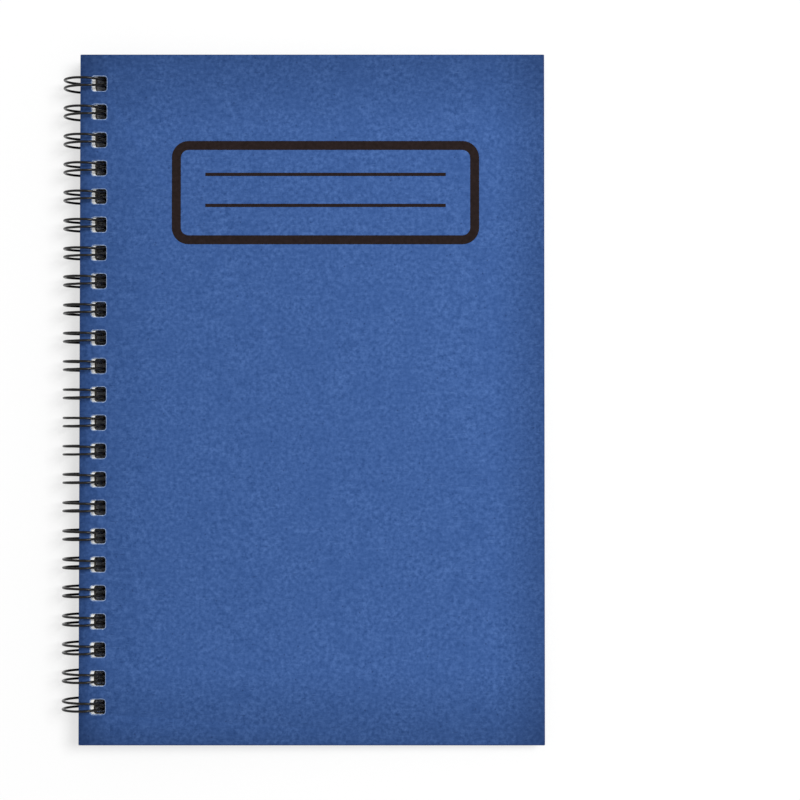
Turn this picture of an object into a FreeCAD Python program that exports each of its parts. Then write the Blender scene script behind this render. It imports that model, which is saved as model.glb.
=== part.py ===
# Notebook bound along its left edge with one continuous twin-loop wire.
# Two card covers and a block of ruled sheets are punched with square holes,
# and every pair of wire loops passes through one hole of each.
#
# The covers and the sheets lie in the stack frame: its origin is the centre of
# the wire loops at mid height of the page, +X runs to the fore edge, +Y to the
# top of the page and +Z to the front cover. The whole stack then leans about
# the loops until the back cover's fore edge rests beside them on the table.
import FreeCAD
import Part
import Sketcher
import math
import os
from FreeCAD import Placement, Rotation, Vector

doc = FreeCAD.newDocument("Notebook")
sheet = doc.addObject("Spreadsheet::Sheet", "Sizes")

# Driving dimensions in millimetres, then the sizes worked out from them
CELLS = [
    ("cover_width", "139", "spine edge to fore edge of a cover"),
    ("cover_height", "206.5", "top to bottom of a cover"),
    ("cover_thickness", "0.8", "card of each cover"),
    ("page_stack", "3.65", "forty ruled sheets pressed flat"),
    ("page_setback", "0.9", "how far the sheets sit behind the covers at the spine"),
    ("page_inset", "1.6", "how far the sheets stop short of the covers elsewhere"),
    ("hole_side", "4.4", "side of a square punched hole"),
    ("hole_web", "3.5", "card left between a hole and the spine edge"),
    ("hole_play", "0.42", "room between the loops and the far side of the cover holes"),
    ("loop_pitch", "8.4667", "three loops to the inch"),
    ("end_margin", "7", "least distance of an end hole from the cover's end"),
    ("row_offset", "1.35", "row of loops above the middle of the cover"),
    ("ring_radius", "6.2", "middle line of a closed wire loop"),
    ("wire_size", "0.75", "thickness of the wire"),
    ("pair_spacing", "2.5", "between the two strands of a loop"),
    ("root_radius", "1.2", "bend where a strand turns towards the next loop"),
    ("seam_clear", "0.2", "room above and below the wire's seam"),
    ("tip_gap", "0.15", "between a loop's closed tip and the roots that hold it"),
    ("bend_step", "15.5", "most that the wire turns between two straight steps, in degrees"),
    ("leaf_gap", "0.05", "air between the sheets and each cover"),
    ("loop_count", "=floor((cover_height - 2 * end_margin) / loop_pitch) + 1", "number of loops"),
    ("first_loop", "=row_offset - (loop_count - 1) * loop_pitch / 2", "lowest loop along the page"),
    ("seam_room", "=wire_size + 2 * seam_clear", "space that the seam takes under the sheets"),
    ("half_gap", "=(page_stack + seam_room) / 2 + leaf_gap", "loop centre to the inside of a cover"),
    ("ring_outer", "=ring_radius + wire_size / 2", "outside of a closed loop"),
    ("hole_far", "=sqrt(ring_outer^2 - half_gap^2) + hole_play", "fore side of the cover holes"),
    ("hole_near", "=hole_far - hole_side", "spine side of the cover holes"),
    ("hole_middle", "=hole_far - hole_side / 2", "middle of the cover holes"),
    ("spine_edge", "=hole_near - hole_web", "spine edge of the covers"),
    ("fore_edge", "=spine_edge + cover_width", "fore edge of the covers"),
    ("page_width", "=cover_width - page_setback - page_inset", "width of the sheets"),
    ("page_height", "=cover_height - 2 * page_inset", "height of the sheets"),
]
for row, (alias, value, note) in enumerate(CELLS, start=1):
    sheet.set(f"A{row}", alias)
    sheet.set(f"B{row}", value)
    sheet.set(f"C{row}", note)
    sheet.setAlias(f"B{row}", alias)
doc.recompute()


def size(alias):
    """Value of a named size, in millimetres."""
    return float(sheet.get(alias))


def origin_plane(body, role):
    """One of the body's own origin planes or axes, found by its role."""
    return next(item for item in body.Origin.OriginFeatures if item.Role == role)


def rectangle_sketch(body, name, left, bottom, width, height):
    """Rectangle on the body's XY plane, each argument an expression."""
    sketch = body.newObject("Sketcher::SketchObject", name)
    sketch.AttachmentSupport = [(origin_plane(body, "XY_Plane"), "")]
    sketch.MapMode = "FlatFace"
    corners = [Vector(1, 1, 0), Vector(3, 1, 0), Vector(3, 4, 0), Vector(1, 4, 0)]
    for start, end in zip(corners, corners[1:] + corners[:1]):
        sketch.addGeometry(Part.LineSegment(start, end), False)
    for side in range(4):
        sketch.addConstraint(Sketcher.Constraint("Coincident", side, 2, (side + 1) % 4, 1))
    for side in (0, 2):
        sketch.addConstraint(Sketcher.Constraint("Horizontal", side))
    for side in (1, 3):
        sketch.addConstraint(Sketcher.Constraint("Vertical", side))
    measures = (
        ("left", ("DistanceX", -1, 1, 0, 1, 1.0), left),
        ("bottom", ("DistanceY", -1, 1, 0, 1, 1.0), bottom),
        ("width", ("DistanceX", 0, 1, 0, 2, 2.0), width),
        ("height", ("DistanceY", 1, 1, 1, 2, 3.0), height),
    )
    for label, constraint, expression in measures:
        index = sketch.addConstraint(Sketcher.Constraint(*constraint))
        sketch.renameConstraint(index, label)
        sketch.setExpression(f"Constraints.{label}", expression)
    return sketch


def punched_sheet(label, left, bottom, width, height, thickness, hole_left):
    """Flat sheet with a row of square holes along its spine edge."""
    body = doc.addObject("PartDesign::Body", label)
    body.Label = label
    outline = rectangle_sketch(body, label + "_outline", left, bottom, width, height)
    slab = body.newObject("PartDesign::Pad", label + "_slab")
    slab.Profile = outline
    slab.setExpression("Length", thickness)
    hole = rectangle_sketch(
        body,
        label + "_hole",
        hole_left,
        "Sizes.first_loop - Sizes.hole_side / 2",
        "Sizes.hole_side",
        "Sizes.hole_side",
    )
    punch = body.newObject("PartDesign::Pocket", label + "_punch")
    punch.Profile = hole
    punch.Type = "ThroughAll"
    punch.Midplane = True
    row = body.newObject("PartDesign::LinearPattern", label + "_row")
    row.Originals = [punch]
    row.Direction = (hole, ["V_Axis"])
    row.setExpression("Length", "Sizes.loop_pitch * (Sizes.loop_count - 1)")
    row.setExpression("Occurrences", "Sizes.loop_count")
    body.Tip = row
    return body


def cover(label):
    """Card cover with its holes, flat in its own body."""
    return punched_sheet(
        label,
        "Sizes.spine_edge",
        "-Sizes.cover_height / 2",
        "Sizes.cover_width",
        "Sizes.cover_height",
        "Sizes.cover_thickness",
        "Sizes.hole_near",
    )


def page_block():
    """The ruled sheets as one block, a little behind the covers at the spine."""
    return punched_sheet(
        "page_block",
        "Sizes.spine_edge + Sizes.page_setback",
        "-Sizes.page_height / 2",
        "Sizes.page_width",
        "Sizes.page_height",
        "Sizes.page_stack",
        "Sizes.hole_near + Sizes.page_setback",
    )


def about_loops(angle):
    """Turn about the loops' centre line, from +X towards +Z."""
    return Placement(Vector(), Rotation(Vector(0, -1, 0), angle))


def bent_bar(radius, start, end):
    """Square bar bent in short straight steps about +Z, from start to end in degrees."""
    half = size("wire_size") / 2
    steps = math.ceil((end - start) / size("bend_step"))
    turns = [math.radians(start + (end - start) * step / steps) for step in range(steps + 1)]
    outer = [Vector(math.cos(turn), math.sin(turn), 0) * (radius + half) for turn in turns]
    inner = [Vector(math.cos(turn), math.sin(turn), 0) * (radius - half) for turn in turns]
    outline = Part.Face(Part.makePolygon(outer + inner[::-1] + outer[:1]))
    outline.translate(Vector(0, 0, -half))
    return outline.extrude(Vector(0, 0, 2 * half))


def flat_on_loops(along, angle):
    """Plane that touches the loops at an angle: its X runs up the page and its Y round the loops."""
    touch = Placement(Vector(size("ring_radius"), along, 0), Rotation(Vector(1, 1, 1), 120))
    return about_loops(angle).multiply(touch)


def placed(shape, place):
    """The shape, moved to its place."""
    shape.Placement = place
    return shape


def seam_angles():
    """Where on the loop the strands leave their roots and where the closed tip begins."""
    radius = size("ring_radius")
    root = size("root_radius")
    seam_height = size("seam_clear") + size("wire_size") / 2 - size("half_gap")
    root_angle = math.asin(seam_height / math.hypot(radius, root)) + math.atan(root / radius)
    across = size("pair_spacing") / 2 + root
    apart = across + size("wire_size") + size("tip_gap")
    tip_angle = root_angle - math.sqrt(apart**2 - across**2) / radius
    return math.degrees(root_angle), math.degrees(tip_angle)


def wire_loop(along, root_angle, tip_angle):
    """One double loop: two strands round the spine, joined at the closed tip."""
    half = size("pair_spacing") / 2
    pieces = [placed(bent_bar(half, 0, 180), flat_on_loops(along, tip_angle))]
    for side in (-1, 1):
        strand = bent_bar(size("ring_radius"), root_angle, 360 + tip_angle)
        upright = Placement(Vector(0, along + side * half, 0), Rotation(Vector(1, 0, 0), 90))
        pieces.append(placed(strand, upright))
    return pieces


def root_bridge(low, high, root_angle):
    """The wire between one loop and the next, with the bend at each end."""
    half = size("pair_spacing") / 2
    root = size("root_radius")
    wire = size("wire_size")
    start = low + half + root
    end = high - half - root
    bar = Part.makeBox(end - start, wire, wire, Vector(0, -root - wire / 2, -wire / 2))
    return [
        placed(bent_bar(root, 180, 270), flat_on_loops(start, root_angle)),
        placed(bar, flat_on_loops(start, root_angle)),
        placed(bent_bar(root, 270, 360), flat_on_loops(end, root_angle)),
    ]


def cut_end(along, root_angle):
    """Free end of the wire, cut off straight."""
    wire = size("wire_size")
    root = size("root_radius")
    stub = Part.makeBox(wire, root, wire, Vector(-wire / 2, -root, -wire / 2))
    return placed(stub, flat_on_loops(along, root_angle))


def binding_wire():
    """One wire bent into double loops that hang together at their roots."""
    count = round(size("loop_count"))
    pitch = size("loop_pitch")
    half = size("pair_spacing") / 2
    loops = [size("first_loop") + pitch * step for step in range(count)]
    root_angle, tip_angle = seam_angles()
    pieces = [cut_end(loops[0] - half, root_angle), cut_end(loops[-1] + half, root_angle)]
    for along in loops:
        pieces += wire_loop(along, root_angle, tip_angle)
    for low, high in zip(loops, loops[1:]):
        pieces += root_bridge(low, high, root_angle)
    wire = doc.addObject("Part::Feature", "binding_wire")
    wire.Label = "binding_wire"
    wire.Shape = pieces[0].multiFuse(pieces[1:]).removeSplitter().Solids[0]
    return wire


def lean_of_back_cover():
    """Angle that brings the back cover up from the seam to the sheets' fore edge."""
    page_fore_edge = size("fore_edge") - size("page_inset")
    return math.degrees(math.atan(size("seam_room") / (page_fore_edge - size("hole_middle"))))


def back_cover_place():
    """The back cover hangs at its holes below the seam and touches the sheets in front."""
    pivot = Vector(size("hole_middle"), 0, -size("half_gap"))
    lean = Placement(pivot, Rotation(Vector(0, -1, 0), lean_of_back_cover()))
    flat = Placement(Vector(-size("hole_middle"), 0, -size("cover_thickness")), Rotation())
    return lean.multiply(flat)


def stack_on_table(back_place):
    """Stack leaning about the loops, with loops and back cover on the table."""
    corner = back_place.multVec(Vector(size("fore_edge"), 0, 0))
    reach = math.hypot(corner.x, corner.z)
    lean = math.asin(size("ring_outer") / reach) - math.atan2(-corner.z, corner.x)
    top = size("half_gap") + size("cover_thickness")
    right = size("fore_edge") * math.cos(lean) + top * math.sin(lean)
    centre = Vector((size("ring_outer") - right) / 2, 0, size("ring_outer"))
    return Placement(centre, Rotation(Vector(0, 1, 0), math.degrees(lean)))


front_cover = cover("front_cover")
pages = page_block()
back_cover = cover("back_cover")
wire = binding_wire()
doc.recompute()

back_place = back_cover_place()
on_table = stack_on_table(back_place)
page_base = size("half_gap") - size("leaf_gap") - size("page_stack")
front_cover.Placement = on_table.multiply(Placement(Vector(0, 0, size("half_gap")), Rotation()))
pages.Placement = on_table.multiply(Placement(Vector(0, 0, page_base), Rotation()))
back_cover.Placement = on_table.multiply(back_place)
wire.Placement = on_table
doc.recompute()

nodes = [front_cover, pages, back_cover, wire]
for obj in doc.Objects:
    if {"Invalid", "Error"} & set(obj.State):
        raise RuntimeError(f"{obj.Label} failed")
for node in nodes:
    if node.Shape.isNull() or not node.Shape.isValid() or len(node.Shape.Solids) != 1:
        raise RuntimeError(f"{node.Label} is not one valid solid")

os.makedirs("parts", exist_ok=True)
for node in nodes:
    node.Shape.exportStep(f"parts/{node.Label}.step")
    print(f"{node.Label}: {node.Shape.Volume / 1000:.2f} cubic centimetres")
loop_axis = on_table.multVec(Vector())
print(f"loops' centre line at x {loop_axis.x:.4f}, z {loop_axis.z:.4f}")
print(f"lean of the stack {math.degrees(on_table.Rotation.Angle):.4f} degrees")
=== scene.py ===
# %% [markdown]
# # A wire-bound notebook
# The notebook is four pieces: two card covers, a block of ruled sheets and one
# long wire that is bent into twenty-three double loops. The measured model
# comes in first, as a fixed frame. Every piece that is made here takes its
# place from that frame, so that it turns with the right cover later on.

# %% Load the frame
import math
import random

import bmesh
import bpy
from mathutils import Matrix, Vector


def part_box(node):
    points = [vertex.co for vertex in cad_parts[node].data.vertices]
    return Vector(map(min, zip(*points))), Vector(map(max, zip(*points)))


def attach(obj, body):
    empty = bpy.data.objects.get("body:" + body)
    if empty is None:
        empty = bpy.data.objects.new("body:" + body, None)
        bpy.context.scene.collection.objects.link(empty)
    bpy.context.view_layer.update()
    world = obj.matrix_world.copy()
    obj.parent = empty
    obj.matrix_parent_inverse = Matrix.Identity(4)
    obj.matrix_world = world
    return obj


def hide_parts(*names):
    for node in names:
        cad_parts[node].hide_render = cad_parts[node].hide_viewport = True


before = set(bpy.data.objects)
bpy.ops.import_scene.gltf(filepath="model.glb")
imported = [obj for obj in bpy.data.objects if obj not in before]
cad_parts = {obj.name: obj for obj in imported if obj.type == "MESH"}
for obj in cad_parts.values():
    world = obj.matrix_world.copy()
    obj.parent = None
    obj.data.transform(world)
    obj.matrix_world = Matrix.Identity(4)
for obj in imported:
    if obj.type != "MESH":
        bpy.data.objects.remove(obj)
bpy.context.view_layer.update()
scene = bpy.context.scene
bpy.ops.object.select_all(action="DESELECT")

# %% [markdown]
# The wire loops are thicker than the stack of paper, so the closed notebook
# leans a little: its fore edge touches the table while the loops lift its
# spine. It is far easier to model each sheet lying flat and to turn it
# afterwards. The lean is read from the frame: a flat board of known width
# that leans has a taller box than its own thickness.

# %% Sizes of the real pieces, in metres
MM = 0.001
CARD = 0.8 * MM
STACK = 3.65 * MM
WIRE_RADIUS = 0.375 * MM
LOOP_RADIUS = 6.2 * MM
LOOP_COUNT = 23
PITCH = 25.4 / 3 * MM
HALF_PAIR = 1.25 * MM
ROOT_BEND = 1.2 * MM
HOLE_SIDE = 4.4 * MM
HOLE_WEB = 3.5 * MM
HOLE_CORNER = 0.75 * MM
ROW_OFFSET = 1.35 * MM
FIRST_LOOP = ROW_OFFSET - (LOOP_COUNT - 1) * PITCH / 2
COVER_WIDTH = 139 * MM
PAGE_WIDTH = 136.5 * MM


def flat_place(node, width, thickness):
    """Matrix from a sheet modelled flat, spine edge at x = 0, to where the node lies, and its lean."""
    low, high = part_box(node)
    lean = math.asin((high.z - low.z - thickness) / width)
    corner = Vector((low.x, 0, high.z - thickness * math.cos(lean)))
    return Matrix.Translation(corner) @ Matrix.Rotation(lean, 4, "Y"), lean


front_place, stack_lean = flat_place("front_cover", COVER_WIDTH, CARD)
page_place = flat_place("page_block", PAGE_WIDTH, STACK)[0]
back_place, back_lean = flat_place("back_cover", COVER_WIDTH, CARD)
COVER_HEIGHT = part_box("front_cover")[1].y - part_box("front_cover")[0].y
PAGE_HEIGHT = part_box("page_block")[1].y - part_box("page_block")[0].y
loop_outside = LOOP_RADIUS + WIRE_RADIUS
loop_centre = Vector((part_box("binding_wire")[0].x + loop_outside, 0, loop_outside))
loop_place = Matrix.Translation(loop_centre) @ Matrix.Rotation(stack_lean, 4, "Y")
print("lean in degrees", round(math.degrees(stack_lean), 3), round(math.degrees(back_lean), 3))

# %% [markdown]
# The camera looks almost straight down on the front cover from a little over
# half a metre, like a product shot with a short telephoto lens. It stands
# square to the cover, not to the table, so the cover stays a rectangle.

# %% Camera
PICTURE_WIDTH_ON_COVER = 239.0 * MM
VIEW_DISTANCE = 560 * MM
VIEW_TILT = math.radians(1.0)
COVER_LEFT_OF_VIEW = 26.3 * MM
COVER_ABOVE_VIEW = 0.34 * MM
NEAREST_SEEN = 10 * MM

camera_data = bpy.data.cameras.new("view")
camera = bpy.data.objects.new("view", camera_data)
scene.collection.objects.link(camera)
camera_data.angle = 2 * math.atan(PICTURE_WIDTH_ON_COVER / 2 / VIEW_DISTANCE)
camera_data.clip_start = NEAREST_SEEN
aim = Vector((COVER_WIDTH / 2 + COVER_LEFT_OF_VIEW, -COVER_ABOVE_VIEW, CARD))
stand_off = Vector((0, -math.sin(VIEW_TILT), math.cos(VIEW_TILT))) * VIEW_DISTANCE
camera.matrix_world = (
    front_place @ Matrix.Translation(aim + stand_off) @ Matrix.Rotation(VIEW_TILT, 4, "X")
)
scene.camera = camera

# %% [markdown]
# A finish is a small graph of nodes. The first helper starts one with the
# numbers that are the same all over, written straight into the shader. Most
# finishes are one noise that gives both their tones and their small relief,
# and the last helper makes those.

# %% Helpers for the finishes
NOISE_ROUGHNESS = 0.6


def new_finish(name, colour, roughness, specular):
    """Material with one Principled shader; returns it with its nodes, links and shader."""
    material = bpy.data.materials.new(name)
    material.use_nodes = True
    nodes = material.node_tree.nodes
    shader = nodes["Principled BSDF"]
    shader.inputs["Base Color"].default_value = (*colour, 1)
    shader.inputs["Roughness"].default_value = roughness
    shader.inputs["Specular IOR Level"].default_value = specular
    return material, nodes, material.node_tree.links, shader


def linear(red, green, blue):
    """Screen colour from 0 to 255 as the linear colour that shaders use."""
    def one(value):
        value /= 255
        return value / 12.92 if value <= 0.04045 else ((value + 0.055) / 1.055) ** 2.4
    return (one(red), one(green), one(blue))


def noise(nodes, links, source, scale, detail, stretch=(1, 1, 1), turn=0.0):
    """Noise read from the object's own coordinates, stretched and turned in the sheet's plane."""
    mapping = nodes.new("ShaderNodeMapping")
    mapping.inputs["Scale"].default_value = stretch
    mapping.inputs["Rotation"].default_value = (0, 0, turn)
    links.new(source, mapping.inputs["Vector"])
    texture = nodes.new("ShaderNodeTexNoise")
    texture.inputs["Scale"].default_value = scale
    texture.inputs["Detail"].default_value = detail
    texture.inputs["Roughness"].default_value = NOISE_ROUGHNESS
    links.new(mapping.outputs["Vector"], texture.inputs["Vector"])
    return texture.outputs["Fac"]


def ramp(nodes, links, source, stops):
    """Colour ramp through (place, linear colour) stops."""
    node = nodes.new("ShaderNodeValToRGB")
    elements = node.color_ramp.elements
    while len(elements) < len(stops):
        elements.new(0.5)
    for element, (place, colour) in zip(elements, stops):
        element.position = place
        element.color = (*colour, 1)
    links.new(source, node.inputs["Fac"])
    return node.outputs["Color"]


def mix(nodes, links, factor, first, second):
    """Mix of two colours by a factor socket."""
    node = nodes.new("ShaderNodeMix")
    node.data_type = "RGBA"
    links.new(factor, node.inputs["Factor"])
    for name, value in (("A", first), ("B", second)):
        socket = next(s for s in node.inputs if s.name == name and s.type == "RGBA")
        if isinstance(value, tuple):
            socket.default_value = (*value, 1)
        else:
            links.new(value, socket)
    return next(s for s in node.outputs if s.type == "RGBA")


def calculate(nodes, links, operation, *sources):
    """Result of a calculation on one or two sockets."""
    node = nodes.new("ShaderNodeMath")
    node.operation = operation
    for number, source in enumerate(sources):
        links.new(source, node.inputs[number])
    return node.outputs["Value"]


def multiply(nodes, links, first, second):
    """Product of two colour sockets."""
    node = nodes.new("ShaderNodeVectorMath")
    node.operation = "MULTIPLY"
    links.new(first, node.inputs[0])
    links.new(second, node.inputs[1])
    return node.outputs["Vector"]


def bump(nodes, links, source, shader, strength, distance):
    """Small relief on the shader's normal."""
    node = nodes.new("ShaderNodeBump")
    node.inputs["Strength"].default_value = strength
    node.inputs["Distance"].default_value = distance
    links.new(source, node.inputs["Height"])
    links.new(node.outputs["Normal"], shader.inputs["Normal"])


def mottled_finish(name, colour, roughness, specular, grain, tones, relief=None):
    """Finish whose tones follow one noise of a (scale, detail), and whose relief does so too."""
    finish, nodes, links, shader = new_finish(name, colour, roughness, specular)
    place = nodes.new("ShaderNodeTexCoord").outputs["Object"]
    mottle = noise(nodes, links, place, *grain)
    links.new(ramp(nodes, links, mottle, tones), shader.inputs["Base Color"])
    if relief:
        bump(nodes, links, mottle, shader, *relief)
    return finish

# %% [markdown]
# The covers are dyed fibre card. Up close its blue is a mottle of slightly
# lighter and darker grains well under a millimetre across, with short fibres
# lying in all directions and now and then a dark speck of bark. Layers of
# noise give this: round ones for the mottle, stretched ones for the fibres.
# The card is also painted darker all round its edges, most of all along the
# spine: this is painted shade, so the tone also depends on the place.

# %% Finish of the card
# Painted shade: the card is darkened towards its side and end edges, and most along the spine.
SIDE_FADE = 15 * MM
END_FADE = 22.5 * MM
SPINE_FADE = 9 * MM
UNSHADED_FROM_SPINE = 24 * MM
PAINTED_EDGE_SHADE = (0.67, 0.69, 0.71)
PAINTED_SPINE_SHADE = (0.54, 0.57, 0.60)
PAINTED_NEAR_SPINE_SHADE = tuple(0.75 + 0.25 * tone for tone in PAINTED_EDGE_SHADE)
UNSHADED = (1.0, 1.0, 1.0)

CARD_BLUE = linear(62, 95, 154)
DARK_GRAIN = linear(45, 77, 133)
LIGHT_GRAIN = linear(80, 114, 175)
CLOUD_BLUE = linear(55, 88, 147)
PALE_FIBRE = linear(90, 124, 182)
DARK_FIBRE = linear(36, 62, 112)
BARK = linear(34, 58, 106)
CARD_GRAIN = (900, 3)
CARD_CLOUD = (110, 3)
CARD_TOOTH = (1500, 4)
CARD_RELIEF = (0.28, 0.06 * MM)
FIBRE_TURNS_AND_SCALES = ((0.4, 260), (1.5, 300), (2.6, 280))
FIBRE_STRETCH = (1, 7, 1)
SPECK_SCALE = 300


def painted_shade_towards_edges(nodes, links, place):
    """Painted shade: tone that falls off towards the four edges of a cover, as a colour to multiply
    with.
    """
    split = nodes.new("ShaderNodeSeparateXYZ")
    links.new(place, split.inputs["Vector"])
    across = nodes.new("ShaderNodeMapRange")
    across.inputs["From Min"].default_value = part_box("front_cover")[0].x
    across.inputs["From Max"].default_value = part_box("front_cover")[1].x
    links.new(split.outputs["X"], across.inputs["Value"])
    off_middle = calculate(nodes, links, "ABSOLUTE", split.outputs["Y"])
    along = nodes.new("ShaderNodeMapRange")
    along.inputs["From Max"].default_value = COVER_HEIGHT / 2
    links.new(off_middle, along.inputs["Value"])
    across_tone = ramp(
        nodes,
        links,
        across.outputs["Result"],
        [
            (0.0, PAINTED_SPINE_SHADE),
            (SPINE_FADE / COVER_WIDTH, PAINTED_NEAR_SPINE_SHADE),
            (UNSHADED_FROM_SPINE / COVER_WIDTH, UNSHADED),
            (1 - SIDE_FADE / COVER_WIDTH, UNSHADED),
            (1.0, PAINTED_EDGE_SHADE),
        ],
    )
    along_tone = ramp(
        nodes,
        links,
        along.outputs["Result"],
        [(1 - END_FADE / (COVER_HEIGHT / 2), UNSHADED), (1.0, PAINTED_EDGE_SHADE)],
    )
    return multiply(nodes, links, across_tone, along_tone)


def share(value):
    """Share of a mix, as the grey that a ramp gives out."""
    return (value, value, value)


def card_tone(nodes, links, place):
    """Mottle, clouds, fibres and specks of the dyed card."""
    mottle = ramp(
        nodes,
        links,
        noise(nodes, links, place, *CARD_GRAIN),
        [(0.28, DARK_GRAIN), (0.5, CARD_BLUE), (0.74, LIGHT_GRAIN)],
    )
    cloud = noise(nodes, links, place, *CARD_CLOUD)
    cloud_share = ramp(nodes, links, cloud, [(0.35, share(0)), (0.68, share(0.5))])
    tone = mix(nodes, links, cloud_share, mottle, CLOUD_BLUE)
    for turn, scale in FIBRE_TURNS_AND_SCALES:
        streak = noise(nodes, links, place, scale, 2, FIBRE_STRETCH, turn)
        pale = ramp(nodes, links, streak, [(0.66, share(0)), (0.78, share(0.45))])
        tone = mix(nodes, links, pale, tone, PALE_FIBRE)
        dark = ramp(nodes, links, streak, [(0.22, share(0.5)), (0.33, share(0))])
        tone = mix(nodes, links, dark, tone, DARK_FIBRE)
    speck = nodes.new("ShaderNodeTexVoronoi")
    speck.inputs["Scale"].default_value = SPECK_SCALE
    links.new(place, speck.inputs["Vector"])
    bark = ramp(nodes, links, speck.outputs["Distance"], [(0.04, share(0.6)), (0.1, share(0))])
    return mix(nodes, links, bark, tone, BARK)


card_finish, nodes, links, shader = new_finish(
    "dyed_fibre_card", CARD_BLUE, roughness=0.9, specular=0.12
)
place = nodes.new("ShaderNodeTexCoord").outputs["Object"]
# The card's tone is multiplied by painted shade towards its edges and spine.
tone = multiply(nodes, links, card_tone(nodes, links, place), painted_shade_towards_edges(nodes, links, place))
links.new(tone, shader.inputs["Base Color"])
bump(nodes, links, noise(nodes, links, place, *CARD_TOOTH), shader, *CARD_RELIEF)

# %% Finish of the card's rounded outer edges, darkened as painted shade
edge_shade_finish = mottled_finish(
    "painted_shade_card_edge",
    linear(33, 56, 108),
    roughness=0.8,
    specular=0.12,
    grain=(1300, 3),
    tones=[(0.35, linear(27, 47, 95)), (0.7, linear(42, 68, 122))],
    relief=(0.3, 0.04 * MM),
)

# %% Finish of the card where the punch has cut it: lighter cut fibre, partly painted highlight
cut_edge_and_highlight_finish = mottled_finish(
    "punched_card_edge_and_painted_highlight",
    linear(136, 160, 204),
    roughness=0.9,
    specular=0.12,
    grain=(1800, 3),
    tones=[(0.35, linear(96, 124, 176)), (0.65, linear(172, 190, 220))],
    relief=(0.5, 0.05 * MM),
)

# %% [markdown]
# The sheets are cream writing paper. Paper is nearly plain, but never quite
# even, and where the light grazes it a faint tooth shows. At the edges of the
# block the cut leaves show as fine lines, which are modelled further down.

# %% Finish of the paper
paper_finish = mottled_finish(
    "cream_writing_paper",
    linear(252, 251, 245),
    roughness=0.8,
    specular=0.12,
    grain=(500, 4),
    tones=[(0.3, linear(248, 246, 238)), (0.7, linear(255, 254, 249))],
    relief=(0.15, 0.03 * MM),
)

# %% Finish of the paper where the punch has cut it, greyed as painted shade for the depth of the holes
hole_shade_finish = mottled_finish(
    "painted_shade_paper_hole_wall",
    linear(92, 88, 82),
    roughness=0.9,
    specular=0.1,
    grain=(900, 3),
    tones=[(0.3, linear(74, 70, 65)), (0.7, linear(116, 112, 104))],
    relief=(0.3, 0.04 * MM),
)

# %% [markdown]
# The wire is steel with a black coating. The coating is smooth and quite
# glossy, with slight waves from the bending tool that break up the highlight.

# %% Finish of the wire
wire_finish = mottled_finish(
    "black_coated_wire",
    linear(13, 12, 12),
    roughness=0.2,
    specular=0.22,
    grain=(700, 2),
    tones=[(0.35, linear(8, 7, 7)), (0.7, linear(19, 17, 16))],
    relief=(0.2, 0.04 * MM),
)

# %% Finishes of the printing inks
ink_finish = mottled_finish(
    "dark_cover_ink",
    linear(34, 24, 22),
    roughness=0.7,
    specular=0.06,
    grain=(900, 3),
    tones=[(0.3, linear(29, 20, 18)), (0.7, linear(40, 30, 29))],
    relief=(0.25, 0.04 * MM),
)

rule_finish = mottled_finish(
    "grey_ruling_ink",
    linear(176, 172, 164),
    roughness=0.8,
    specular=0.2,
    grain=(1200, 2),
    tones=[(0.3, linear(160, 156, 148)), (0.7, linear(196, 192, 184))],
)

# %% [markdown]
# Blender's tools act on whatever is selected. These helpers keep that under
# control: one starts a primitive with nothing else selected, one applies a
# modifier, one joins pieces, one gives them their finishes, and one moves a
# finished sheet to its place and writes that place into the mesh, so that the
# object stays at the origin.

# %% Helpers for modelling
def start(add, name, **settings):
    """Add a primitive with nothing else selected, and name it."""
    bpy.ops.object.select_all(action="DESELECT")
    add(**settings)
    piece = bpy.context.active_object
    piece.name = name
    return piece


def only(piece):
    """Make a piece the one selected and active object."""
    bpy.ops.object.select_all(action="DESELECT")
    piece.select_set(True)
    bpy.context.view_layer.objects.active = piece


def slab(name, low, high):
    """Box between two corners, with its size and place in the mesh."""
    middle = [(a + b) / 2 for a, b in zip(low, high)]
    piece = start(bpy.ops.mesh.primitive_cube_add, name, size=1, location=middle)
    piece.scale = [b - a for a, b in zip(low, high)]
    bpy.ops.object.transform_apply(location=True, rotation=True, scale=True)
    return piece


def apply_modifier(piece, kind, name, **settings):
    """Give a piece a modifier and apply it."""
    only(piece)
    modifier = piece.modifiers.new(name, kind)
    for key, value in settings.items():
        setattr(modifier, key, value)
    bpy.ops.object.modifier_apply(modifier=modifier.name)


def join(pieces, name):
    """Join pieces into one mesh under a new name."""
    bpy.ops.object.select_all(action="DESELECT")
    for piece in pieces:
        piece.select_set(True)
    bpy.context.view_layer.objects.active = pieces[0]
    if len(pieces) > 1:
        bpy.ops.object.join()
    pieces[0].name = name
    return pieces[0]


def dress(piece, *finishes):
    """Give a piece its finishes; the first one is on all its faces."""
    piece.data.materials.clear()
    for finish in finishes:
        piece.data.materials.append(finish)


def settle(piece, matrix):
    """Move a piece modelled flat to where it lies, and write that into its mesh."""
    only(piece)
    piece.matrix_world = matrix @ piece.matrix_world
    bpy.ops.object.transform_apply(location=True, rotation=True, scale=True)


def count(piece):
    """Print how many faces a piece has."""
    print(piece.name, len(piece.data.polygons), "faces")

# %% [markdown]
# The punch makes a square hole with slightly rounded corners. One cutter is
# shaped by bevelling the upright edges of a box, then copied along the row,
# and a boolean takes all of them out of a sheet at once.

# %% Row of hole cutters
PUNCH_BELOW = 5 * MM
PUNCH_ABOVE = 10 * MM


def upright_edges(mesh):
    """Edges that stand along Z."""
    found = []
    for edge in mesh.edges:
        first, last = (mesh.vertices[i].co for i in edge.vertices)
        if abs(first.z - last.z) > 0.5 * (first - last).length:
            found.append(edge)
    return found


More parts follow.
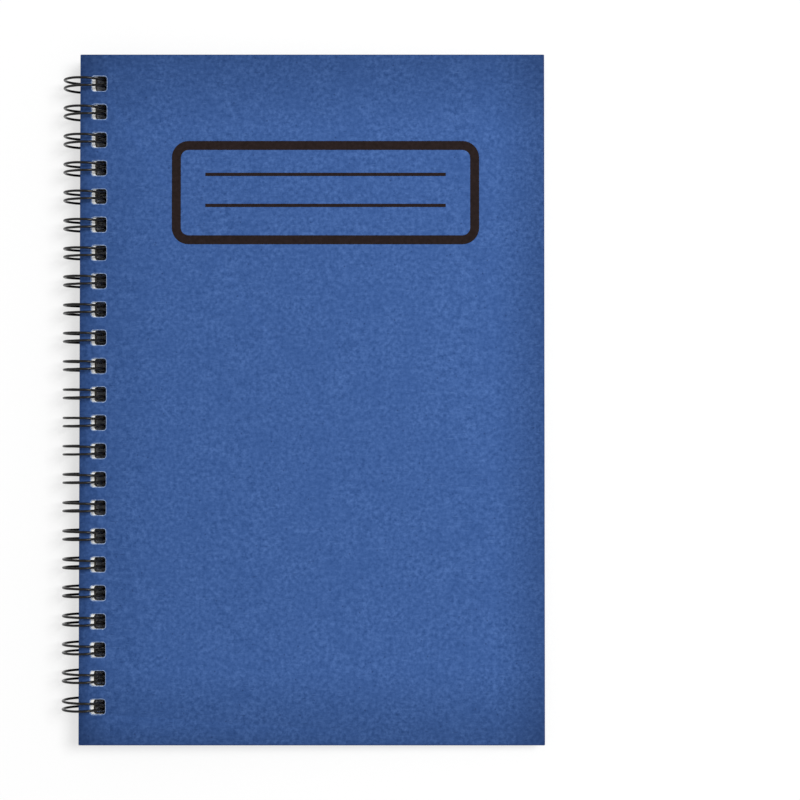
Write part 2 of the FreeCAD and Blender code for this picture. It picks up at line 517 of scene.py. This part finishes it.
def hole_cutters(corner_steps):
    """One mesh of punches standing through a flat sheet."""
    first = slab(
        "punch",
        (HOLE_WEB, FIRST_LOOP - HOLE_SIDE / 2, -PUNCH_BELOW),
        (HOLE_WEB + HOLE_SIDE, FIRST_LOOP + HOLE_SIDE / 2, PUNCH_ABOVE),
    )
    bpy.ops.object.mode_set(mode="EDIT")
    bpy.ops.mesh.select_mode(type="EDGE")
    bpy.ops.mesh.select_all(action="DESELECT")
    bpy.ops.object.mode_set(mode="OBJECT")
    for edge in upright_edges(first.data):
        edge.select = True
    bpy.ops.object.mode_set(mode="EDIT")
    bpy.ops.mesh.bevel(offset=HOLE_CORNER, segments=corner_steps, affect="EDGES")
    bpy.ops.object.mode_set(mode="OBJECT")
    punches = [first]
    for step in range(1, LOOP_COUNT):
        copy = first.copy()
        copy.data = first.data.copy()
        scene.collection.objects.link(copy)
        copy.location.y += step * PITCH
        punches.append(copy)
    row = join(punches, "punch_row")
    only(row)
    bpy.ops.object.transform_apply(location=True, rotation=True, scale=True)
    return row


def punch(sheet, corner_steps):
    """Take the row of holes out of a flat sheet."""
    cutters = hole_cutters(corner_steps)
    apply_modifier(sheet, "BOOLEAN", "holes", operation="DIFFERENCE", solver="EXACT", object=cutters)
    bpy.data.objects.remove(cutters, do_unlink=True)

# %% [markdown]
# A cover is a thin board. After punching, all its edges get a small round, as
# card has once it has been handled. The rounds of the outer edges get painted
# shade, and the walls of the holes a lighter finish of cut fibre and painted highlight.

# %% Covers
EDGE_ROUND = 0.24 * MM
WALL_REACH = 1.2 * EDGE_ROUND
FLAT = 0.98
ROUNDED_FROM = math.radians(50)
SMOOTH_UP_TO = math.radians(35)


def in_hole_band(centre):
    """Whether a point of a flat sheet lies at the walls of a punched hole."""
    if not HOLE_WEB - WALL_REACH < centre.x < HOLE_WEB + HOLE_SIDE + WALL_REACH:
        return False
    step = round((centre.y - FIRST_LOOP) / PITCH)
    return abs(centre.y - FIRST_LOOP - step * PITCH) < HOLE_SIDE / 2 + WALL_REACH


def is_rounded(normal):
    """Whether a face of a flat cover belongs to a rounded edge."""
    return max(abs(normal.x), abs(normal.y), abs(normal.z)) < FLAT


def card_cover(name, node, body, matrix):
    """Punched card cover that takes the place of a cover of the frame."""
    board = slab(name, (0, -COVER_HEIGHT / 2, 0), (COVER_WIDTH, COVER_HEIGHT / 2, CARD))
    punch(board, corner_steps=4)
    apply_modifier(
        board, "BEVEL", "soft_edges", width=EDGE_ROUND, segments=2, limit_method="ANGLE",
        angle_limit=ROUNDED_FROM,
    )
    dress(board, card_finish, cut_edge_and_highlight_finish, edge_shade_finish)
    for face in board.data.polygons:
        # The walls of the holes take the lighter cut finish, which is partly painted highlight.
        if in_hole_band(face.center) and abs(face.normal.z) < FLAT:
            face.material_index = 1
        # The rounded outer edges take the dark finish, which is painted shade.
        elif is_rounded(face.normal):
            face.material_index = 2
    only(board)
    bpy.ops.object.shade_smooth_by_angle(angle=SMOOTH_UP_TO)
    settle(board, matrix)
    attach(board, body)
    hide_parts(node)
    count(board)


card_cover("front_card", "front_cover", "front_cover", front_place)
card_cover("back_card", "back_cover", "back_cover", back_place)

# %% [markdown]
# The sheets are one block, but its edges must read as paper. The block grows
# leaf by leaf: the outline is pulled up by one leaf, drawn in a hair, pulled
# up by the air between two leaves and let out again. No two leaves lie
# exactly alike, so each is let out by a slightly different amount.

# %% Page block
LEAVES = 40
AIR_SHARE = 0.18
GROOVE = 0.05 * MM
UNEVEN = 0.06 * MM
leaf = STACK / (LEAVES - AIR_SHARE)
spread = random.Random(7)


def pull_up(height):
    """Extrude the selected outline straight up."""
    bpy.ops.mesh.extrude_region_move(TRANSFORM_OT_translate={"value": (0, 0, height)})


def paper_block():
    """Block of leaves whose edges are grooved, punched like the covers."""
    middle = (PAGE_WIDTH / 2, 0, 0)
    block = start(bpy.ops.mesh.primitive_plane_add, "paper_leaves", size=1, location=middle)
    block.scale = (PAGE_WIDTH - 2 * UNEVEN, PAGE_HEIGHT - 2 * UNEVEN, 1)
    bpy.ops.object.transform_apply(location=True, rotation=True, scale=True)
    bpy.ops.object.mode_set(mode="EDIT")
    bpy.ops.mesh.select_all(action="SELECT")
    draw_in = (1 - 2 * GROOVE / PAGE_WIDTH, 1 - 2 * GROOVE / PAGE_HEIGHT)
    half_air = leaf * AIR_SHARE / 2
    for number in range(LEAVES):
        pull_up(leaf * (1 - AIR_SHARE))
        if number == LEAVES - 1:
            break
        pull_up(half_air)
        bpy.ops.transform.resize(value=(*draw_in, 1), center_override=middle)
        out_x = spread.uniform(-UNEVEN, UNEVEN)
        out_y = spread.uniform(-UNEVEN, UNEVEN)
        outline = [v.co.copy() for v in bmesh.from_edit_mesh(block.data).verts if v.select]
        half_width = max(point.x for point in outline) - PAGE_WIDTH / 2
        half_height = max(point.y for point in outline)
        let_out = (
            (PAGE_WIDTH / 2 - UNEVEN + out_x) / half_width,
            (PAGE_HEIGHT / 2 - UNEVEN + out_y) / half_height,
        )
        pull_up(half_air)
        bpy.ops.transform.resize(value=(*let_out, 1), center_override=middle)
    bpy.ops.mesh.select_all(action="SELECT")
    bpy.ops.mesh.normals_make_consistent(inside=False)
    bpy.ops.object.mode_set(mode="OBJECT")
    punch(block, corner_steps=2)
    dress(block, paper_finish, hole_shade_finish)
    # The walls of the holes in the sheets take the grey finish, which is painted shade.
    for face in block.data.polygons:
        if in_hole_band(face.center) and abs(face.normal.z) < FLAT:
            face.material_index = 1
    settle(block, page_place)
    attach(block, "sheets_and_wire")
    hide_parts("page_block")
    count(block)


paper_block()

# %% [markdown]
# The binding is one wire. Seen from the side each double loop is a ring: a
# strand starts at its root under the sheets, climbs through the holes, goes
# over the front cover, round the spine and up through the back cover's hole,
# turns round in a tight tip between the roots, and comes back the same way
# beside itself. A spin is just such a bend. A small circle is spun through
# every bend in turn, each spin starting where the last one ended, so that
# the tube has no joints.

# %% Where the roots and the tip lie on the ring
SEAM_HEIGHT = 1.875 * MM
TIP_GAP = 0.15 * MM
root_drop = math.asin(SEAM_HEIGHT / math.hypot(LOOP_RADIUS, ROOT_BEND))
root_turn = math.atan(ROOT_BEND / LOOP_RADIUS) - root_drop
bend_reach = HALF_PAIR + ROOT_BEND
tip_reach = bend_reach + 2 * WIRE_RADIUS + TIP_GAP
tip_turn = root_turn - math.sqrt(tip_reach**2 - bend_reach**2) / LOOP_RADIUS
strand_span = 2 * math.pi + tip_turn - root_turn


def outward(turn):
    """Direction from the ring's centre to its rim, from +X towards +Z."""
    return Vector((math.cos(turn), 0, math.sin(turn)))


def round_the_ring(turn):
    """Direction in which the ring runs there."""
    return Vector((-math.sin(turn), 0, math.cos(turn)))


def rim(turn, along):
    """Point on the ring's middle line, at a place along the spine."""
    return outward(turn) * LOOP_RADIUS + Vector((0, along, 0))


# %% [markdown]
# The two strands of a loop don't run parallel. The bending tool makes each
# loop as a tapering finger, so the strands stand furthest apart round the
# spine and the back, and draw together over the front cover, down into the
# holes. The taper is added once the loop is complete: every ring of points
# moves sideways by an amount that depends only on its turn round the loop.
# The closed loops are not quite round either: they bulge a little on the side
# away from the sheets. The holes are wider than a loop, and the whole wire has
# slid in them a touch towards the top of the page.

# %% Taper and bulge of a loop
SLACK = 0.2 * MM
BULGE = 1.05
HALF_PAIR_AT = (
    (0, HALF_PAIR),
    (34, 0.88 * MM),
    (60, 0.97 * MM),
    (92, 1.13 * MM),
    (125, 1.21 * MM),
    (250, 1.30 * MM),
    (math.degrees(strand_span), HALF_PAIR),
)


def half_pair_at(turn):
    """Half the distance between the strands, at a turn from the root in degrees."""
    for (first, low), (last, high) in zip(HALF_PAIR_AT, HALF_PAIR_AT[1:]):
        if turn <= last:
            way = (turn - first) / (last - first)
            return low + (high - low) * way * way * (3 - 2 * way)
    return HALF_PAIR


def taper(tube):
    """Draw the strands of a finished loop together, and let it bulge away from the sheets."""
    for vertex in tube.data.vertices:
        turn = (math.atan2(vertex.co.z, vertex.co.x) - root_turn) % (2 * math.pi)
        side = math.copysign(1, vertex.co.y)
        if turn < strand_span:
            vertex.co.y += side * (half_pair_at(math.degrees(turn)) - HALF_PAIR)
        if vertex.co.x < 0:
            vertex.co.x *= BULGE


# %% One double loop
AROUND_WIRE = 14
STRAND_STEPS = 60
TIP_STEPS = 12
CORNER_STEPS = 6
WELD = 0.01 * MM
WIRE_SMOOTH_UP_TO = math.radians(60)


def spin(steps, angle, centre, axis):
    """Carry the tube's open end through a right-handed bend; the operator itself turns left-handed."""
    bpy.ops.mesh.spin(steps=steps, angle=angle, center=centre, axis=-Vector(axis))


def stretch(move):
    """Carry the tube's open end straight on."""
    bpy.ops.mesh.extrude_region_move(TRANSFORM_OT_translate={"value": move})


def double_loop(name, free_low=False, free_high=False):
    """Tube for one loop about y = 0, from half a bridge below to half a bridge above."""
    bridge = PITCH / 2 - HALF_PAIR - ROOT_BEND
    root = rim(root_turn, 0) - round_the_ring(root_turn) * ROOT_BEND
    if free_low:
        begin = root - Vector((0, HALF_PAIR, 0))
        facing = (0, -root_turn, 0)
    else:
        begin = root - Vector((0, PITCH / 2, 0))
        facing = (math.pi / 2, 0, 0)
    tube = start(
        bpy.ops.mesh.primitive_circle_add, name, vertices=AROUND_WIRE, radius=WIRE_RADIUS,
        location=begin, rotation=facing,
    )
    bpy.ops.object.transform_apply(location=True, rotation=True, scale=True)
    bpy.ops.object.mode_set(mode="EDIT")
    bpy.ops.mesh.select_all(action="SELECT")
    if free_low:
        stretch(round_the_ring(root_turn) * ROOT_BEND)
    else:
        stretch((0, bridge, 0))
        spin(CORNER_STEPS, math.pi / 2, rim(root_turn, -HALF_PAIR - ROOT_BEND), outward(root_turn))
    spin(STRAND_STEPS, strand_span, (0, 0, 0), (0, -1, 0))
    spin(TIP_STEPS, math.pi, rim(tip_turn, 0), -outward(tip_turn))
    spin(STRAND_STEPS, strand_span, (0, 0, 0), (0, 1, 0))
    if free_high:
        stretch(-round_the_ring(root_turn) * ROOT_BEND)
    else:
        spin(CORNER_STEPS, math.pi / 2, rim(root_turn, HALF_PAIR + ROOT_BEND), outward(root_turn))
        stretch((0, bridge, 0))
    bpy.ops.object.mode_set(mode="OBJECT")
    taper(tube)
    return tube


# %% The whole wire
def place_in_row(step):
    """Place of a loop along the spine, counted from the lowest one."""
    return FIRST_LOOP + SLACK + step * PITCH


def copy_along(piece, step):
    """Copy of a loop with its own mesh, moved to its place in the row."""
    copy = piece.copy()
    copy.data = piece.data.copy()
    scene.collection.objects.link(copy)
    copy.location.y = place_in_row(step)
    return copy


lowest = double_loop("lowest_loop", free_low=True)
lowest.location.y = place_in_row(0)
highest = double_loop("highest_loop", free_high=True)
highest.location.y = place_in_row(LOOP_COUNT - 1)
model_loop = double_loop("model_loop")
loops = [lowest] + [copy_along(model_loop, step) for step in range(1, LOOP_COUNT - 1)] + [highest]
bpy.data.objects.remove(model_loop, do_unlink=True)
twin_loop_wire = join(loops, "twin_loop_wire")
only(twin_loop_wire)
bpy.ops.object.transform_apply(location=True, rotation=True, scale=True)
bpy.ops.object.mode_set(mode="EDIT")
bpy.ops.mesh.select_all(action="SELECT")
bpy.ops.mesh.remove_doubles(threshold=WELD)
bpy.ops.mesh.select_all(action="DESELECT")
bpy.ops.mesh.select_non_manifold(extend=False)
bpy.ops.mesh.edge_face_add()
bpy.ops.mesh.select_all(action="SELECT")
bpy.ops.mesh.normals_make_consistent(inside=False)
bpy.ops.object.mode_set(mode="OBJECT")
dress(twin_loop_wire, wire_finish)
bpy.ops.object.shade_smooth_by_angle(angle=WIRE_SMOOTH_UP_TO)
settle(twin_loop_wire, loop_place)
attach(twin_loop_wire, "sheets_and_wire")
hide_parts("binding_wire")
count(twin_loop_wire)

# %% [markdown]
# The front carries a printed title panel: a thick frame with round corners
# and two fine lines to write on. Ink has next to no thickness, so the panel
# is cut from a sheet about a hundredth of a millimetre thick that lies on the
# card. The frame is an outline with an inset, whose middle is deleted.

# %% Title panel on the front cover
INK = 0.012 * MM
PANEL_LEFT = 27.5 * MM
PANEL_WIDTH = 92 * MM
PANEL_DROP = 26 * MM
PANEL_TOP = COVER_HEIGHT / 2 - PANEL_DROP
PANEL_HEIGHT = 31 * MM
PANEL_FRAME = 2.7 * MM
PANEL_LINE = 1.0 * MM
PANEL_CORNER = 5 * MM
PANEL_CORNER_STEPS = 8
LINE_SHARES = (0.36, 0.66)
LINE_MARGIN = 10 * MM


def flat_patch(name, left, bottom, right, top, height, ink):
    """Thin printed patch on a flat sheet."""
    return slab(name, (left, bottom, height), (right, top, height + ink))


def frame_patch(name, left, bottom, right, top, height, border, ink, corner=0.0):
    """Printed frame, with rounded corners where a corner radius is given."""
    sheet = start(
        bpy.ops.mesh.primitive_plane_add, name, size=1,
        location=((left + right) / 2, (bottom + top) / 2, height),
    )
    sheet.scale = (right - left, top - bottom, 1)
    bpy.ops.object.transform_apply(location=True, rotation=True, scale=True)
    bpy.ops.object.mode_set(mode="EDIT")
    if corner:
        bpy.ops.mesh.select_mode(type="VERT")
        bpy.ops.mesh.select_all(action="SELECT")
        bpy.ops.mesh.bevel(offset=corner, segments=PANEL_CORNER_STEPS, affect="VERTICES")
    bpy.ops.mesh.select_mode(type="FACE")
    bpy.ops.mesh.select_all(action="SELECT")
    bpy.ops.mesh.inset(thickness=border)
    bpy.ops.mesh.delete(type="FACE")
    bpy.ops.mesh.select_all(action="SELECT")
    bpy.ops.mesh.extrude_region_move(TRANSFORM_OT_translate={"value": (0, 0, ink)})
    bpy.ops.mesh.select_all(action="SELECT")
    bpy.ops.mesh.normals_make_consistent(inside=False)
    bpy.ops.object.mode_set(mode="OBJECT")
    return sheet


panel_right = PANEL_LEFT + PANEL_WIDTH
panel_bottom = PANEL_TOP - PANEL_HEIGHT
prints = [
    frame_patch(
        "panel", PANEL_LEFT, panel_bottom, panel_right, PANEL_TOP, CARD, PANEL_FRAME, INK, PANEL_CORNER
    )
]
line_ends = (PANEL_LEFT + LINE_MARGIN, panel_right - LINE_MARGIN)
for line_share in LINE_SHARES:
    line = panel_bottom + PANEL_HEIGHT * line_share
    prints.append(flat_patch("line", line_ends[0], line, line_ends[1], line + PANEL_LINE, CARD, INK))
title_panel = join(prints, "title_panel")
dress(title_panel, ink_finish)
settle(title_panel, front_place)
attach(title_panel, "front_cover")
count(title_panel)

# %% [markdown]
# The first and last sheet show once a cover is open. They are ruled: a strong
# line under the heading, fine lines down the page, a strong one at the foot,
# a row of seven little day boxes and a short line for the date.

# %% Ruling of the pages
RULE_INK = 0.006 * MM
HEADER_DROP = 17.5 * MM
FIRST_RULE_DROP = 26.3 * MM
RULE_STEP = 7.87 * MM
RULE_COUNT = 22
FOOT_DROP = 199.3 * MM
MARGIN = 10.9 * MM
FINE = 0.25 * MM
STRONG = 0.7 * MM
RULING_DROP = 1 * MM
RULING_TOP = COVER_HEIGHT / 2 - RULING_DROP
DAYS = 7
DAY_BOX = 3.65 * MM
DAY_GAP = 0.65 * MM
DAY_DROP = 10.2 * MM
DATE_DROP = 12.4 * MM
DATE_FROM = 26 * MM
DATE_TO = 8 * MM


def ruled_face(name, height):
    """Everything printed on one side of a page, as thin patches at a height."""
    right = PAGE_WIDTH - MARGIN
    patches = []

    def rule(left, end, drop, weight):
        high = RULING_TOP - drop
        patches.append(flat_patch("rule", left, high - weight, end, high, height, RULE_INK))

    rule(MARGIN, right, HEADER_DROP, STRONG)
    rule(MARGIN, right, FOOT_DROP, STRONG)
    for number in range(RULE_COUNT):
        rule(MARGIN, right, FIRST_RULE_DROP + number * RULE_STEP, FINE)
    rule(right - DATE_FROM, right - DATE_TO, DATE_DROP, FINE)
    for number in range(DAYS):
        left = MARGIN + number * (DAY_BOX + DAY_GAP)
        high = RULING_TOP - DAY_DROP
        patches.append(
            frame_patch("day", left, high - DAY_BOX, left + DAY_BOX, high, height, FINE, RULE_INK)
        )
    page_print = join(patches, name)
    dress(page_print, rule_finish)
    settle(page_print, page_place)
    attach(page_print, "sheets_and_wire")
    count(page_print)


ruled_face("first_page_rules", STACK)
ruled_face("last_page_rules", -RULE_INK)

# %% [markdown]
# The notebook lies on a plain white table. Even light from all round gives
# the flat look of a product shot. One large soft lamp stands high on the fore
# edge's side: it lights the paper at the near side of each punched hole, it
# leaves the depth of the holes dark, and it gives every wire loop a glint.
# Seen straight on or in a gloss, the table and what lies beyond it are white,
# and the table keeps a light shadow. That white stops where the notebook
# lies, so that no bright table shines up through the holes. For everything
# else table and surroundings are darker, which keeps their glow off the card.

# %% Table and light
TABLE_SIZE = 6
TABLE_GREY = (0.6, 0.6, 0.6)
WHITE = (1, 1, 1, 1)
SHADOW_SOFTENING = 0.62
UNDER_THE_EDGE = 1 * MM
EVEN_LIGHT = 0.42
LAMP_PLACE = Vector((1.12, 0.50, 2.05))
LAMP_SIDE = 0.9
LAMP_POWER = 42


def seen_in_picture(nodes, links):
    """Socket that is 1 for what the camera sees, straight on, in a gloss or through glass; else 0."""
    ray = nodes.new("ShaderNodeLightPath").outputs
    either = calculate(nodes, links, "MAXIMUM", ray["Is Camera Ray"], ray["Is Glossy Ray"])
    return calculate(nodes, links, "MAXIMUM", either, ray["Is Transmission Ray"])


def beside_the_notebook(nodes, links):
    """Socket that is 0 under the covers and rises to 1 across their edges."""
    split = nodes.new("ShaderNodeSeparateXYZ")
    links.new(nodes.new("ShaderNodeTexCoord").outputs["Object"], split.inputs["Vector"])
    half_sizes = {"X": -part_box("front_cover")[0].x, "Y": COVER_HEIGHT / 2}
    rises = []
    for axis, half_size in half_sizes.items():
        rise = nodes.new("ShaderNodeMapRange")
        rise.inputs["From Min"].default_value = half_size - UNDER_THE_EDGE
        rise.inputs["From Max"].default_value = half_size + UNDER_THE_EDGE
        off_middle = calculate(nodes, links, "ABSOLUTE", split.outputs[axis])
        links.new(off_middle, rise.inputs["Value"])
        rises.append(rise.outputs["Result"])
    return calculate(nodes, links, "MAXIMUM", *rises)


table = start(bpy.ops.mesh.primitive_plane_add, "table", size=TABLE_SIZE, location=(0, 0, 0))
table_finish, nodes, links, shader = new_finish("white_table", TABLE_GREY, roughness=0.9, specular=0.1)
lit_white = nodes.new("ShaderNodeBsdfDiffuse")
lit_white.inputs["Color"].default_value = WHITE
pure_white = nodes.new("ShaderNodeEmission")
pure_white.inputs["Strength"].default_value = 1.0
pale = nodes.new("ShaderNodeMixShader")
pale.inputs["Fac"].default_value = SHADOW_SOFTENING
links.new(lit_white.outputs["BSDF"], pale.inputs[1])
links.new(pure_white.outputs["Emission"], pale.inputs[2])
seen = seen_in_picture(nodes, links)
beside = beside_the_notebook(nodes, links)
chosen = nodes.new("ShaderNodeMixShader")
links.new(calculate(nodes, links, "MULTIPLY", seen, beside), chosen.inputs["Fac"])
links.new(shader.outputs["BSDF"], chosen.inputs[1])
links.new(pale.outputs["Shader"], chosen.inputs[2])
links.new(chosen.outputs["Shader"], nodes["Material Output"].inputs["Surface"])
table.data.materials.append(table_finish)

world = bpy.data.worlds.new("even_light")
scene.world = world
world.use_nodes = True
nodes = world.node_tree.nodes
links = world.node_tree.links
nodes["Background"].inputs["Color"].default_value = WHITE
strength = nodes.new("ShaderNodeMapRange")
strength.inputs["To Min"].default_value = EVEN_LIGHT
strength.inputs["To Max"].default_value = 1.0
links.new(seen_in_picture(nodes, links), strength.inputs["Value"])
links.new(strength.outputs["Result"], nodes["Background"].inputs["Strength"])

lamp_data = bpy.data.lights.new("soft_lamp", "AREA")
lamp_data.shape = "RECTANGLE"
lamp_data.size = LAMP_SIDE
lamp_data.size_y = LAMP_SIDE
lamp_data.energy = LAMP_POWER
lamp = bpy.data.objects.new("soft_lamp", lamp_data)
scene.collection.objects.link(lamp)
lamp.location = LAMP_PLACE
lamp.rotation_euler = (-LAMP_PLACE).to_track_quat("-Z", "Y").to_euler()
scene.view_settings.view_transform = "Standard"
